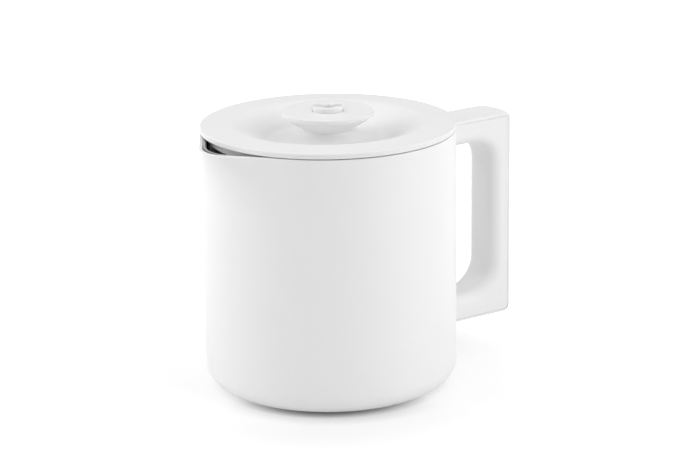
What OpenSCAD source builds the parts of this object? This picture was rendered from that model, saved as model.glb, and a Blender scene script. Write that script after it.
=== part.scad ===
// Thermal carafe: a double-walled white vessel with a pouring beak, a C-shaped handle with a
// cover strip, and a flush dished lid whose knob holds a sprung brew-through valve.
// Origin on the floor under the vessel's axis, +Z up, handle along +X, beak along -X.

/* [Vessel] */
// Outside radius of the vessel
body_r = 74; // [68:0.5:84]
// Height of the rim above the floor
body_h = 152; // [140:1:180]
// Outside radius of the bottom corner
corner_r = 12; // [9:0.5:14]
// Thickness of the outer shell
shell_wall = 0.8; // [0.6:0.1:1.2]
// Width of the painted edge that the shell turns in at the rim
rim_turn = 1.8; // [1.2:0.1:2.4]
// Width of the whole rim: painted edge and steel lip
rim_land = 4; // [3.2:0.1:5]

/* [Beak] */
// How far the beak's tip stands out from the wall
beak_reach = 10.5; // [7:0.1:13]
// Height over which the beak runs back into the wall
beak_drop = 36; // [28:1:48]
// Radius of the beak's tip, seen from above
beak_tip_r = 19; // [10:0.5:22]
// How much the beak's front curves outwards, 1 for a straight front
beak_flare = 1.6; // [1.2:0.1:2.2]
// How far the rim slopes down to the beak's tip
beak_dip = 1.8; // [0.8:0.1:2.4]

/* [Liner] */
// Space between the two walls
vacuum_gap = 7; // [5.5:0.1:9]
// Thickness of the steel liner
liner_wall = 0.7; // [0.5:0.1:1]
// Depth of the wide neck under the rim
neck_depth = 18; // [16:0.5:24]
// Height of the shoulder under the neck
shoulder_h = 6; // [4:0.5:9]
// Height of the liner's underside above the floor
liner_floor = 12; // [11:0.5:16]
// Outside radius of the liner's bottom corner
liner_corner_r = 10; // [6:0.5:16]
// Thickness of the liner's rim flange
liner_flange = 1.2; // [0.9:0.1:1.6]

/* [Base] */
// Height that the pad lifts the shell off the floor
pad_h = 1.2; // [0.8:0.1:2]
// Radius of the pad
pad_r = 60; // [56:0.5:61]
// Radius of the hole in the shell's bottom
base_hole_r = 52; // [46:0.5:54]
// Height of the flask bottom's underside above the floor
flask_bottom_z = 8; // [7:0.1:8.4]
// Radius of the evacuation dimple in the flask bottom
dimple_r = 7; // [5:0.5:9]
// Rise of the evacuation dimple
dimple_rise = 1.6; // [1:0.1:2]
// Radius of the getter pellet
getter_r = 6; // [4:0.5:8]
// Distance of the getter pellet from the axis
getter_offset = 30; // [24:1:40]

/* [Handle] */
// Depth of the handle's top under the rim
handle_drop = 6.6; // [4:0.1:10]
// Height of the handle
handle_h = 124.4; // [112:0.1:130]
// Width of the handle
handle_w = 27; // [24:0.5:34]
// Distance from the vessel's wall to the edges of the handle's back
handle_reach = 50; // [46:0.5:58]
// Crown of the handle's back
handle_crown = 3; // [2:0.1:5]
// Finger space between the vessel's wall and the grip
finger_gap = 37.5; // [33:0.5:38.5]
// Height of the upper arm
upper_arm = 15.8; // [13.2:0.1:17]
// Height of the lower arm
lower_arm = 15.7; // [13.2:0.1:17]
// Radius that rounds the edges round the opening
grip_round = 7; // [5:0.5:9]
// Inner fillet of the opening at the upper arm
fillet_top = 14; // [10:0.5:20]
// Inner fillet of the opening at the lower arm
fillet_bottom = 17; // [10:0.5:22]
// Outer corner radius at the top of the handle's back
corner_top = 2.5; // [1.5:0.1:4]
// Outer corner radius at the bottom of the handle's back
corner_bottom = 5; // [2:0.1:7]
// Thickness of the handle's cover strip
cover_t = 1.7; // [1.5:0.1:3]
// Length of the bracket tabs inside the arms
tab_l = 32; // [28:0.5:34]
// Thickness of the bracket tabs
tab_t = 2; // [1.5:0.1:2.4]
// Width of the bracket tabs
tab_w = 16; // [12:0.5:17]
// Shank radius of the handle screws
screw_r = 2; // [1.5:0.1:2.5]
// Head radius of the handle screws
screw_head_r = 3.6; // [3.2:0.1:4.4]

/* [Lid] */
// Shadow gap between the rim and the lid's flange
lid_gap = 0.6; // [0.5:0.1:1.4]
// Thickness of the plug's flange
flange_t = 1.5; // [0.9:0.1:1.8]
// Height of the cover's edge
edge_h = 1.5; // [1.2:0.1:2.5]
// Wall of the lid's mouldings
lid_wall = 2; // [1.6:0.1:2.4]
// Radius of the crest round the dish
crest_r = 57; // [50:0.5:60]
// Rise of the crest above the lid's edge
crest_rise = 0.6; // [0.2:0.1:1.2]
// Radius of the dish's lowest ring
dish_r = 34; // [30:0.5:38]
// Depth of the dish under the crest
dish_depth = 10; // [8:0.1:11]
// Radius of the stem's neck under the knob
neck_r = 14.2; // [13.8:0.1:16]
// Height of the neck above the dish's lowest ring
neck_rise = 5.7; // [4:0.1:8]
// Depth of the plug under the rim
plug_depth = 36; // [34:0.5:42]
// Width of the lip that carries the plug's floor
lip_w = 3; // [2:0.1:4]
// Thickness of that lip
lip_t = 1.2; // [1:0.1:1.6]
// Height of the gasket's groove above the plug's underside
gasket_rise = 6; // [4:0.5:6.5]
// Height of the gasket
gasket_h = 4; // [3:0.1:5]
// Depth of the gasket's groove
groove_d = 2; // [1.5:0.1:2.5]
// Width of the pour window
window_w = 52; // [40:1:60]
// Height of the pour window
window_h = 10; // [8:0.5:11]
// Radius of the inlet holes in the plug's floor
inlet_r = 8; // [5:0.5:10]
// Distance of the inlet holes from the axis
inlet_pitch_r = 40; // [32:1:44]
// Number of inlet holes
inlets = 8; // [5:1:10]

/* [Knob and valve] */
// Radius of the knob
knob_r = 26.6; // [22:0.1:30]
// Height of the knob's top above the lid's edge
knob_rise = 7.1; // [6:0.1:10]
// Thickness of the knob's rim
knob_rim = 2.4; // [1.6:0.1:3]
// Outside radius of the valve's crown
crown_r = 8.7; // [8:0.1:9.4]
// Height of the crown above the knob
crown_rise = 2.9; // [2.7:0.1:5]
// Depth of the crown's two notches
notch_d = 2; // [1:0.1:2.5]
// Width of the crown's notches
notch_w = 5.4; // [3:0.1:6]
// Turn of the crown's notches from the handle's direction
crown_turn = -34.5; // [-90:0.5:90]
// Bore of the valve's tube, as a radius
drip_r = 4; // [3:0.1:4.2]
// Wall of the valve's tube
tube_wall = 1.2; // [0.8:0.1:1.4]
// Travel of the valve
valve_travel = 2.5; // [1.5:0.1:2.6]
// Wire diameter of the valve's spring
wire_d = 1; // [0.6:0.1:1.2]
// Turns of the valve's spring
spring_turns = 6; // [4:1:7]

/* [Fits] */
// Running clearance between pieces that move past each other
run_gap = 0.3; // [0.2:0.05:0.4]
// Clearance between fixed pieces that fit into each other
fit_gap = 0.2; // [0.1:0.05:0.25]
// Visible seam between the grip and its cover strip
seam = 0.15; // [0.1:0.05:0.4]

/* [Hidden] */
$fn = 96;
eps = 0.02;
cut = 1;
white = [0.93, 0.93, 0.93];
steel = [0.72, 0.72, 0.73];
soft_grey = [0.45, 0.45, 0.46];

// Vessel
shell_floor = pad_h;
liner_or = body_r - shell_wall - vacuum_gap;
liner_ir = liner_or - liner_wall;
mouth_r = body_r - rim_land;
neck_z = body_h - neck_depth;
channel_z = neck_z + liner_flange;
shoulder_z = neck_z - shoulder_h;
beak_z = body_h - beak_drop;
root_sink = shell_wall / 2;
tip_min = 1;
beak_cos = (body_r - beak_tip_r) / (body_r + beak_reach - beak_tip_r);
slope_x = body_r * beak_cos;
slope_end = body_r + beak_reach + cut;
rim_slope = beak_dip / (body_r + beak_reach - slope_x);
tip_steps = 16;
beak_rings = 6;
root_turn = 2;

// Base
plate_t = 0.8;
snap = 1;
cover_floor = 1.6;
cover_rim_t = 2;

// Handle
handle_top = body_h - handle_drop;
handle_bottom = handle_top - handle_h;
back_x = body_r + handle_reach;
grip_x = body_r + finger_gap;
opening_top = handle_top - upper_arm;
opening_bottom = handle_bottom + lower_arm;
grip_back = back_x - cover_t;
foot_h = 8;
foot_margin = 1;
foot_w = tab_w + 2 * foot_margin;
foot_t = 1.5;
tab_depth = 4.7;
head_h = 2.4;
head_sink = 0.4;
counterbore = head_h + head_sink;
screw_tip = 1.5;
screw_end = tab_depth + tab_t + screw_tip;
screw_x = [body_r + 0.34 * tab_l, body_r + 0.78 * tab_l];

// Lid heights
flange_z = body_h + lid_gap;
parting_z = flange_z + flange_t;
lid_top = parting_z + edge_h;
crest_z = lid_top + crest_rise;
dish_z = crest_z - dish_depth;
stem_z = dish_z + neck_rise;
knob_top = lid_top + knob_rise;
plug_z = body_h - plug_depth;
skirt_gap = 0.5;
skirt_r = mouth_r - skirt_gap;
lower_skirt_r = liner_ir - 2 * run_gap;
shoulder_gap = 0.6;
groove_z = plug_z + gasket_rise;
groove_r = lower_skirt_r - groove_d;
lower_inner_r = groove_r - lid_wall;
upper_inner_r = skirt_r - 1.75 * lid_wall;
ledge_inner_r = skirt_r - 0.55 * lid_wall;
clip_drop = 5.1;
ledge_z = parting_z - clip_drop;
seal_t = 1;
clip_z = ledge_z + seal_t;
edge_round = 0.7;
floor_z = plug_z + lip_t;
floor_top = floor_z + lid_wall;

// Knob and valve
pocket_r = crown_r + run_gap;
tube_r = drip_r + tube_wall;
guide_r = tube_r + run_gap;
spigot_wall = 2;
spigot_r = pocket_r + spigot_wall;
stem_bore = spigot_r + fit_gap;
boss_r = neck_r - 0.9 * lid_wall;
boss_drop = 3.6;
boss_z = dish_z - boss_drop;
nut_h = 4;
nut_wall = 6;
nut_r = spigot_r + nut_wall;
spigot_end = 0.4;
spigot_z = boss_z - nut_h - spigot_end;
pocket_floor = 2.8;
pocket_z = spigot_z + pocket_floor;
crown_top = knob_top + crown_rise;
crown_seat = 0.7;
crown_z = knob_top - valve_travel - crown_seat;
seat_clear = 1;
seat_r = guide_r + seat_clear;
guide_gap = 2;
guide_top = spigot_z - guide_gap;
seal_gap = 0.2;
valve_seal_h = 2.9;
seal_land = 2.8;
foot_land = 1;
valve_seal_r = seat_r + seal_land;
valve_seal_z = floor_z - seal_gap - valve_seal_h;
foot_disc_h = 2.3;
outlet_rise = 0.5;
outlet_z = floor_z + outlet_rise;
outlet_h = 4.5;
outlet_w = 0.9 * drip_r;
spring_r = (tube_r + pocket_r) / 2;
spring_seat = 0.1;
spring_z0 = pocket_z + spring_seat + wire_d / 2;
spring_z1 = crown_z - spring_seat - wire_d / 2;
spring_pitch = (spring_z1 - spring_z0) / spring_turns;
rings_per_turn = 8;
wire_sides = 6;

echo(spring_least_gap = spring_pitch - wire_d);

// Points of an arc about [x, z], from angle a0 to a1
function arc(x, z, r, a0, a1, n) =
    [for (i = [0:n]) let (a = a0 + (a1 - a0) * i / n) [x + r * cos(a), z + r * sin(a)]];

// Radius and centre distance of the beak's tip, set in by d from the outside
function tip_r(d) = max(beak_tip_r - d, tip_min);
function tip_x(d) = (body_r - d - tip_r(d)) / beak_cos;
// Radius on which the beak's flanks leave the wall, and the half angle between them
function root_r(d) = body_r - d - root_sink;
function flank_angle(d) = acos((root_r(d) - tip_r(d)) / tip_x(d));

// Inside radius of the shell at height z in its bottom corner
function shell_inside(z) =
    body_r - corner_r + sqrt(pow(corner_r - shell_wall, 2) - pow(shell_floor + corner_r - z, 2));

// Top line of the dish, from the crest inwards to the stem's neck, set down by d and in to radius r_in
function dish_line(d, r_in) = concat(
    [for (i = [0:12]) let (t = i / 12)
        [crest_r - t * (crest_r - dish_r), crest_z - d - dish_depth * (1 - cos(180 * t)) / 2]],
    [for (i = [1:10]) let (a = 9 * i)
        [dish_r - (dish_r - r_in) * sin(a), dish_z - d + neck_rise * (1 - cos(a))]]);

function reversed(p) = [for (i = [len(p) - 1:-1:0]) p[i]];

// Plan of the beak, set in by d, at fraction f of its reach: two straight flanks and a round tip
function beak_ring(d, f) =
    let (a = flank_angle(d), r = root_r(d), x = r * cos(a + root_turn), y = r * sin(a + root_turn))
    concat([[x, y]], arc(f * tip_x(d), 0, (1 - f) * r + f * tip_r(d), a, -a, tip_steps), [[x, -y]]);

module beak_plan(d) {
    mirror([1, 0]) polygon(beak_ring(d, 1));
}

// The beak as a flaring loft, from the wall at height z to fraction f_top of its reach
module beak_loft(d, z, top, f_top = 1) {
    m = tip_steps + 3;
    last = beak_rings * m;
    points = [for (i = [0:beak_rings]) let (t = i / beak_rings)
        for (p = beak_ring(d, f_top * pow(t, beak_flare))) [-p[0], p[1], z + t * (top - z)]];
    side = [for (i = [0:beak_rings - 1]) for (k = [0:m - 1]) let (p = i * m + k, q = i * m + (k + 1) % m)
        each [[p, p + m, q], [q, p + m, q + m]]];
    ends = [for (k = [1:m - 2]) each [[0, k, k + 1], [last, last + k + 1, last + k]]];
    polyhedron(points, concat(side, ends));
}

// Side line of the rim where it slopes down to the beak's tip, set down by d
function slope_line(d) =
    [[-slope_end, body_h - d - rim_slope * (slope_end - slope_x)], [-slope_x, body_h - d]];

// Everything above or under that line, to cut the beak's rim with
module over_slope(d) {
    rotate([90, 0, 0]) linear_extrude(2 * body_r, center = true)
        polygon(concat(slope_line(d), [[-slope_x, body_h + cut], [-slope_end, body_h + cut]]));
}

module under_slope(d) {
    low = body_h - neck_depth;
    rotate([90, 0, 0]) linear_extrude(2 * body_r, center = true)
        polygon(concat(slope_line(d), [[0, body_h - d], [0, low], [-slope_end, low]]));
}

// Opening of the rim, set in by d, from height z upwards
module mouth_cut(d, z, h) {
    translate([0, 0, z]) {
        cylinder(r = body_r - d, h = h);
        linear_extrude(h) beak_plan(d);
    }
}

module outer_shell() {
    outside = concat([[0, shell_floor]],
        arc(body_r - corner_r, shell_floor + corner_r, corner_r, -90, 0, 12),
        [[body_r, body_h], [0, body_h]]);
    inside = concat([[0, shell_floor + shell_wall]],
        arc(body_r - corner_r, shell_floor + corner_r, corner_r - shell_wall, -90, 0, 12),
        [[body_r - shell_wall, body_h - shell_wall], [0, body_h - shell_wall]]);
    color(white) difference() {
        union() {
            rotate_extrude() polygon(outside);
            beak_loft(0, beak_z, body_h);
        }
        rotate_extrude() polygon(inside);
        difference() {
            beak_loft(shell_wall, beak_z, body_h - shell_wall, pow(1 - shell_wall / beak_drop, beak_flare));
            over_slope(shell_wall);
        }
        mouth_cut(rim_turn, body_h - shell_wall - beak_dip, shell_wall + beak_dip + cut);
        over_slope(0);
        translate([0, 0, shell_floor - eps]) cylinder(r = base_hole_r, h = shell_wall + 2 * eps);
    }
}

module inner_liner() {
    joint = rim_turn + fit_gap / 4;
    lip_drop = liner_flange + beak_dip;
    profile = concat([[0, liner_floor]],
        arc(liner_or - liner_corner_r, liner_floor + liner_corner_r, liner_corner_r, -90, 0, 10),
        [[liner_or, shoulder_z], [mouth_r + liner_wall, neck_z], [mouth_r + liner_wall, body_h],
         [mouth_r, body_h], [mouth_r, neck_z], [liner_ir, shoulder_z]],
        arc(liner_or - liner_corner_r, liner_floor + liner_corner_r, liner_corner_r - liner_wall, 0, -90, 10),
        [[0, liner_floor + liner_wall]]);
    color(steel) difference() {
        union() {
            rotate_extrude() polygon(profile);
            difference() {
                union() {
                    beak_loft(rim_land - liner_wall, channel_z, body_h);
                    translate([0, 0, body_h - liner_flange]) cylinder(r = body_r - joint, h = liner_flange);
                    difference() {
                        translate([0, 0, body_h - lip_drop]) linear_extrude(lip_drop) beak_plan(joint);
                        under_slope(liner_flange);
                    }
                }
                translate([0, 0, neck_z]) cylinder(r = mouth_r, h = neck_depth + cut);
            }
        }
        beak_loft(rim_land, channel_z, body_h + eps);
        over_slope(0);
    }
}

module flask_bottom() {
    r = shell_inside(flask_bottom_z) - fit_gap;
    top = flask_bottom_z + plate_t;
    slope = dimple_rise;
    vent_r = 1.5;
    color(steel) rotate_extrude() polygon([
        [vent_r, flask_bottom_z + dimple_rise], [dimple_r, flask_bottom_z + dimple_rise],
        [dimple_r + slope, flask_bottom_z], [r, flask_bottom_z], [r, top],
        [dimple_r + slope, top], [dimple_r, top + dimple_rise], [vent_r, top + dimple_rise]]);
}

// Sealing bead in the dimple, over the hole through which the air was drawn out
module evacuation_seal() {
    bead_gap = 1;
    color([0.35, 0.3, 0.26]) translate([0, 0, flask_bottom_z + fit_gap])
        cylinder(r1 = dimple_r - bead_gap, r2 = dimple_r - 2 * bead_gap, h = dimple_rise - fit_gap);
}

// Getter pellet on the liner's underside
module getter() {
    height = (liner_floor - flask_bottom_z - plate_t) / 2;
    color(soft_grey) translate([getter_offset, 0, liner_floor - height])
        cylinder(r = getter_r, h = height);
}

// Snap-in cover of the shell's bottom hole
module base_cover() {
    r = base_hole_r - fit_gap;
    lip_z = shell_floor + shell_wall + fit_gap;
    top = flask_bottom_z - fit_gap;
    color(white) rotate_extrude() polygon([
        [0, shell_floor], [r, shell_floor], [r, lip_z], [r + snap, lip_z + snap / 2],
        [r + snap, lip_z + snap], [r, lip_z + 2 * snap], [r, top], [r - cover_rim_t, top],
        [r - cover_rim_t, shell_floor + cover_floor], [0, shell_floor + cover_floor]]);
}

// Soft pad under the shell
module base_pad() {
    bevel = pad_h / 2;
    color(soft_grey) rotate_extrude() polygon([
        [0, 0], [pad_r - bevel, 0], [pad_r, bevel], [pad_r, pad_h], [0, pad_h]]);
}

// Places its children on the outside of the upper or lower arm, with +Z pointing into the arm
module at_upper() translate([0, 0, handle_top - cover_t]) rotate([180, 0, 0]) children();
module at_lower() translate([0, 0, handle_bottom + cover_t]) children();

// Bracket: a foot welded to the shell and a drilled tab that reaches into the arm
module bracket() {
    difference() {
        union() {
            intersection() {
                translate([0, 0, tab_depth + tab_t / 2])
                    cube([2 * (body_r + foot_t), foot_w, foot_h], center = true);
                translate([0, 0, tab_depth - foot_h]) cylinder(r = body_r + foot_t, h = 2 * foot_h + tab_t);
                translate([0, -foot_w, tab_depth - foot_h]) cube([2 * body_r, 2 * foot_w, 3 * foot_h]);
            }
            translate([body_r - foot_t, -tab_w / 2, tab_depth]) cube([tab_l + foot_t, tab_w, tab_t]);
        }
        translate([0, 0, -foot_h]) cylinder(r = body_r + fit_gap / 4, h = 4 * foot_h);
        for (x = screw_x) translate([x, 0, 0]) cylinder(r = screw_r + fit_gap / 2, h = screw_end + foot_h);
    }
}

module upper_bracket() {
    color(steel) at_upper() bracket();
}

module lower_bracket() {
    color(steel) at_lower() bracket();
}

// Pocket in an arm for its bracket and screws
module bracket_pocket() {
    reach = body_r + foot_t + fit_gap;
    foot_z = tab_depth + tab_t / 2 - foot_h / 2;
    intersection() {
        translate([0, -foot_w / 2 - fit_gap, foot_z - fit_gap])
            cube([reach, foot_w + 2 * fit_gap, foot_h + 2 * fit_gap]);
        translate([0, 0, foot_z - foot_h]) cylinder(r = reach, h = 3 * foot_h);
    }
    translate([body_r - foot_t, -tab_w / 2 - fit_gap, tab_depth - fit_gap])
        cube([tab_l + foot_t + fit_gap, tab_w + 2 * fit_gap, tab_t + 2 * fit_gap]);
    for (x = screw_x) translate([x, 0, 0]) {
        translate([0, 0, -eps]) cylinder(r = screw_head_r + fit_gap, h = counterbore + eps);
        cylinder(r = screw_r + fit_gap, h = screw_end + fit_gap);
    }
}

// Corner between a square and a circle of radius r, for rounding edges
module round_corner(r) {
    difference() {
        square(r);
        circle(r);
    }
}

// Side outline of the handle's opening, in x and z
module opening_outline() {
    difference() {
        translate([0, opening_bottom]) square([grip_x, opening_top - opening_bottom]);
        translate([grip_x - fillet_top, opening_top - fillet_top]) round_corner(fillet_top);
        translate([grip_x - fillet_bottom, opening_bottom + fillet_bottom]) mirror([0, 1])
            round_corner(fillet_bottom);
    }
}

// Removes the edge round the opening on the +Y side
module opening_round() {
    r = grip_round;
    y = handle_w / 2 - r;
    straight = grip_x - body_r / 2;
    translate([body_r / 2, y, opening_top + r]) rotate([90, 0, 90])
        linear_extrude(straight - fillet_top) mirror([0, 1]) round_corner(r);
    translate([body_r / 2, y, opening_bottom - r]) rotate([90, 0, 90])
        linear_extrude(straight - fillet_bottom) round_corner(r);
    translate([grip_x + r, y, opening_bottom + fillet_bottom])
        linear_extrude(opening_top - opening_bottom - fillet_top - fillet_bottom)
            mirror([1, 0]) round_corner(r);
    translate([grip_x - fillet_top, y, opening_top - fillet_top]) rotate([90, 0, 0])
        rotate_extrude(angle = 90) translate([fillet_top + r, 0]) rotate(180) round_corner(r);
    translate([grip_x - fillet_bottom, y, opening_bottom + fillet_bottom]) rotate([90, 0, 0])
        rotate_extrude(angle = -90) translate([fillet_bottom + r, 0]) rotate(180) round_corner(r);
}

module handle_grip() {
    base = handle_bottom + cover_t;
    color(white) difference() {
        rotate([90, 0, 0]) linear_extrude(handle_w, center = true) difference() {
            translate([body_r / 2, base]) square([grip_back - body_r / 2, handle_h - 2 * cover_t]);
            opening_outline();
        }
        opening_round();
        mirror([0, 1, 0]) opening_round();
        translate([0, 0, handle_bottom]) cylinder(r = body_r + fit_gap, h = handle_h);
        at_upper() bracket_pocket();
        at_lower() bracket_pocket();
    }
}

// Cover strip over the top, back and underside of the grip
module handle_cover() {
    back_r = (pow(handle_w / 2, 2) + pow(handle_crown, 2)) / (2 * handle_crown);
    tip = back_x + handle_crown;
    inside = [grip_back + seam - body_r / 2, handle_h - 2 * cover_t + 2 * seam];
    color(white) difference() {
        intersection() {
            rotate([90, 0, 0]) linear_extrude(handle_w, center = true) difference() {
                translate([body_r / 2, handle_bottom]) square([tip - body_r / 2, handle_h]);
                translate([body_r / 2, handle_bottom + cover_t - seam]) square(inside);
                translate([tip - corner_top, handle_top - corner_top]) round_corner(corner_top);
                translate([tip - corner_bottom, handle_bottom + corner_bottom]) mirror([0, 1])
                    round_corner(corner_bottom);
            }
            translate([tip - back_r, 0, handle_bottom - cut]) cylinder(r = back_r, h = handle_h + 2 * cut);
        }
        translate([0, 0, handle_bottom - cut]) cylinder(r = body_r + fit_gap, h = handle_h + 2 * cut);
    }
}

// Socket-head screw, standing on its head with the shank along +Z
module handle_screw() {
    socket_r = 0.55 * screw_head_r;
    difference() {
        union() {
            translate([0, 0, head_sink]) cylinder(r = screw_head_r, h = head_h);
            translate([0, 0, counterbore - eps]) cylinder(r = screw_r, h = screw_end - counterbore);
        }
        translate([0, 0, head_sink - eps]) cylinder(r = socket_r, h = 0.6 * head_h, $fn = 6);
    }
}

module handle_screws() {
    color(steel) for (x = screw_x) {
        at_upper() translate([x, 0, 0]) handle_screw();
        at_lower() translate([x, 0, 0]) handle_screw();
    }
}

// Ring gasket with two lips, loose in the plug's groove
module lid_gasket() {
    inner = groove_r + run_gap;
    lip = liner_ir - run_gap;
    web = lower_skirt_r - 2 * run_gap;
    z0 = groove_z + run_gap;
    z1 = z0 + gasket_h;
    land = 0.2 * gasket_h;
    color(soft_grey) rotate_extrude() polygon([
        [inner, z0], [web, z0], [lip, z0 + land / 2], [lip, z0 + land], [web, z0 + 2 * land],
        [web, z1 - 2 * land], [lip, z1 - land], [lip, z1 - land / 2], [web, z1], [inner, z1]]);
}

// Plug: flange, hollow skirt with a pour window, gasket groove and a lip for the floor
module lid_plug() {
    groove_top = groove_z + gasket_h + 2 * run_gap;
    seat_out = mouth_r + 0.5 * rim_land;
    seat_in = mouth_r + 0.1 * rim_land;
    seat_z = body_h + run_gap;
    window_drop = 1.5;
    window_z = ledge_z - window_h - window_drop;
    profile = [
        [lower_inner_r - lip_w, plug_z], [lower_skirt_r, plug_z], [lower_skirt_r, groove_z],
        [groove_r, groove_z], [groove_r, groove_top], [lower_skirt_r, groove_top],
        [lower_skirt_r, shoulder_z + shoulder_gap], [skirt_r, neck_z + shoulder_gap], [skirt_r, flange_z],
        [seat_in, flange_z], [seat_in, seat_z], [seat_out, seat_z], [seat_out, flange_z],
        [body_r, flange_z], [body_r, parting_z], [ledge_inner_r, parting_z], [ledge_inner_r, ledge_z],
        [upper_inner_r, ledge_z], [upper_inner_r, neck_z + 2 * shoulder_gap],
        [lower_inner_r, shoulder_z + 2 * shoulder_gap], [lower_inner_r, floor_z],
        [lower_inner_r - lip_w, floor_z]];
    color(white) difference() {
        rotate_extrude() polygon(profile);
        translate([-body_r, -window_w / 2, window_z]) cube([body_r / 2, window_w, window_h]);
    }
}

// Drilled floor of the plug, with the valve's guide tube
module plug_floor() {
    edge = lower_inner_r - fit_gap;
    wall = seat_r + lid_wall;
    color(white) difference() {
        rotate_extrude() polygon([[seat_r, floor_z], [edge, floor_z], [edge, floor_top],
            [wall, floor_top], [wall, guide_top], [seat_r, guide_top]]);
        for (i = [0:inlets - 1]) rotate([0, 0, 360 * (i + 0.5) / inlets])
            translate([inlet_pitch_r, 0, floor_z - cut]) cylinder(r = inlet_r, h = lid_wall + 2 * cut);
    }
}

// Flat seal between the cover's clip skirt and the plug's ledge
module cover_seal() {
    color(soft_grey) translate([0, 0, ledge_z]) difference() {
        cylinder(r = ledge_inner_r - fit_gap, h = seal_t);
        translate([0, 0, -cut]) cylinder(r = upper_inner_r + fit_gap, h = seal_t + 2 * cut);
    }
}

// Cover: flat margin, smooth dish and hollow trumpet stem
module lid_cover() {
    clip_or = ledge_inner_r - fit_gap;
    clip_ir = upper_inner_r + fit_gap;
    color(white) rotate_extrude() polygon(concat(
        [[clip_or, parting_z], [body_r, parting_z]],
        arc(body_r - edge_round, lid_top - edge_round, edge_round, 0, 90, 4),
        dish_line(0, neck_r),
        [[stem_bore, stem_z], [stem_bore, boss_z], [boss_r, boss_z]],
        reversed(dish_line(lid_wall, boss_r)),
        [[clip_ir, crest_z - lid_wall], [clip_ir, clip_z], [clip_or, clip_z]]));
}

// Mushroom knob with a spigot that holds the valve's crown and spring
module knob_cap() {
    under_z = knob_top - knob_rim;
    color(white) rotate_extrude() polygon(concat(
        [[pocket_r, knob_top]],
        reversed(arc(knob_r - edge_round, knob_top - edge_round, edge_round, 0, 90, 4)),
        [[knob_r, under_z], [neck_r, stem_z], [spigot_r, stem_z], [spigot_r, spigot_z],
         [guide_r, spigot_z], [guide_r, pocket_z], [pocket_r, pocket_z]]));
}

// Hexagon nut that clamps the knob's spigot under the cover
module knob_nut() {
    color(soft_grey) translate([0, 0, boss_z - nut_h]) difference() {
        cylinder(r = nut_r, h = nut_h, $fn = 6);
        translate([0, 0, -cut]) cylinder(r = spigot_r + fit_gap / 2, h = nut_h + 2 * cut);
    }
}

// Notched crown on a drip tube with side outlets at its foot
module valve_plunger() {
    color(white) difference() {
        union() {
            translate([0, 0, crown_z]) cylinder(r = crown_r, h = crown_top - crown_z);
            translate([0, 0, valve_seal_z]) cylinder(r = tube_r, h = crown_z - valve_seal_z + eps);
        }
        translate([0, 0, valve_seal_z - cut]) cylinder(r = drip_r, h = crown_top - valve_seal_z + 2 * cut);
        rotate([0, 0, crown_turn]) translate([-crown_r - cut, -notch_w / 2, crown_top - notch_d])
            cube([2 * (crown_r + cut), notch_w, notch_d + cut]);
        for (a = [0, 90]) rotate([0, 0, a]) translate([-tube_r - cut, -outlet_w / 2, outlet_z])
            cube([2 * (tube_r + cut), outlet_w, outlet_h]);
    }
}

// Compression spring: one helical wire swept with flat ends
module valve_spring() {
    n = spring_turns * rings_per_turn;
    climb = atan(spring_pitch / (2 * PI * spring_r));
    points = [for (i = [0:n]) let (a = 360 * i / rings_per_turn) for (k = [0:wire_sides - 1])
        let (b = 360 * k / wire_sides, u = wire_d / 2 * cos(b), v = wire_d / 2 * sin(b))
        [(spring_r + u) * cos(a) + v * sin(climb) * sin(a),
         (spring_r + u) * sin(a) - v * sin(climb) * cos(a),
         spring_z0 + spring_pitch * i / rings_per_turn + v * cos(climb)]];
    side = [for (i = [0:n - 1]) for (k = [0:wire_sides - 1])
        let (p = i * wire_sides + k, q = i * wire_sides + (k + 1) % wire_sides)
        each [[p, p + wire_sides, q], [q, p + wire_sides, q + wire_sides]]];
    ends = [for (k = [1:wire_sides - 2])
        each [[0, k, k + 1], [n * wire_sides, n * wire_sides + k + 1, n * wire_sides + k]]];
    color(steel) polyhedron(points, concat(side, ends));
}

// Ring seal that closes the plug's floor from below
module valve_seal() {
    color(soft_grey) translate([0, 0, valve_seal_z]) difference() {
        cylinder(r = valve_seal_r, h = valve_seal_h);
        translate([0, 0, -cut]) cylinder(r = tube_r + fit_gap, h = valve_seal_h + 2 * cut);
    }
}

// Foot that carries the seal, with a peg in the tube's end
module valve_foot() {
    color(white) translate([0, 0, valve_seal_z - foot_disc_h]) {
        cylinder(r = valve_seal_r - foot_land, h = foot_disc_h);
        cylinder(r = drip_r - fit_gap, h = foot_disc_h + valve_seal_h);
    }
}

outer_shell();
inner_liner();
flask_bottom();
evacuation_seal();
getter();
base_cover();
base_pad();
upper_bracket();
lower_bracket();
handle_grip();
handle_cover();
handle_screws();
lid_gasket();
lid_plug();
plug_floor();
cover_seal();
lid_cover();
knob_cap();
knob_nut();
valve_plunger();
valve_spring();
valve_seal();
valve_foot();
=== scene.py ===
"""Looks of a white thermal carafe, dressed on its packed construction.

Sizes are millimetres in the part's own frame: +Z up from the floor, the handle along +X, the beak
along -X. Meshes are made in metres.
"""

import functools
import logging
import math
from dataclasses import dataclass
from enum import Enum
from typing import Any, Mapping, Optional, Sequence

import bmesh
import bpy
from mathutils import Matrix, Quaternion, Vector


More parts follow.
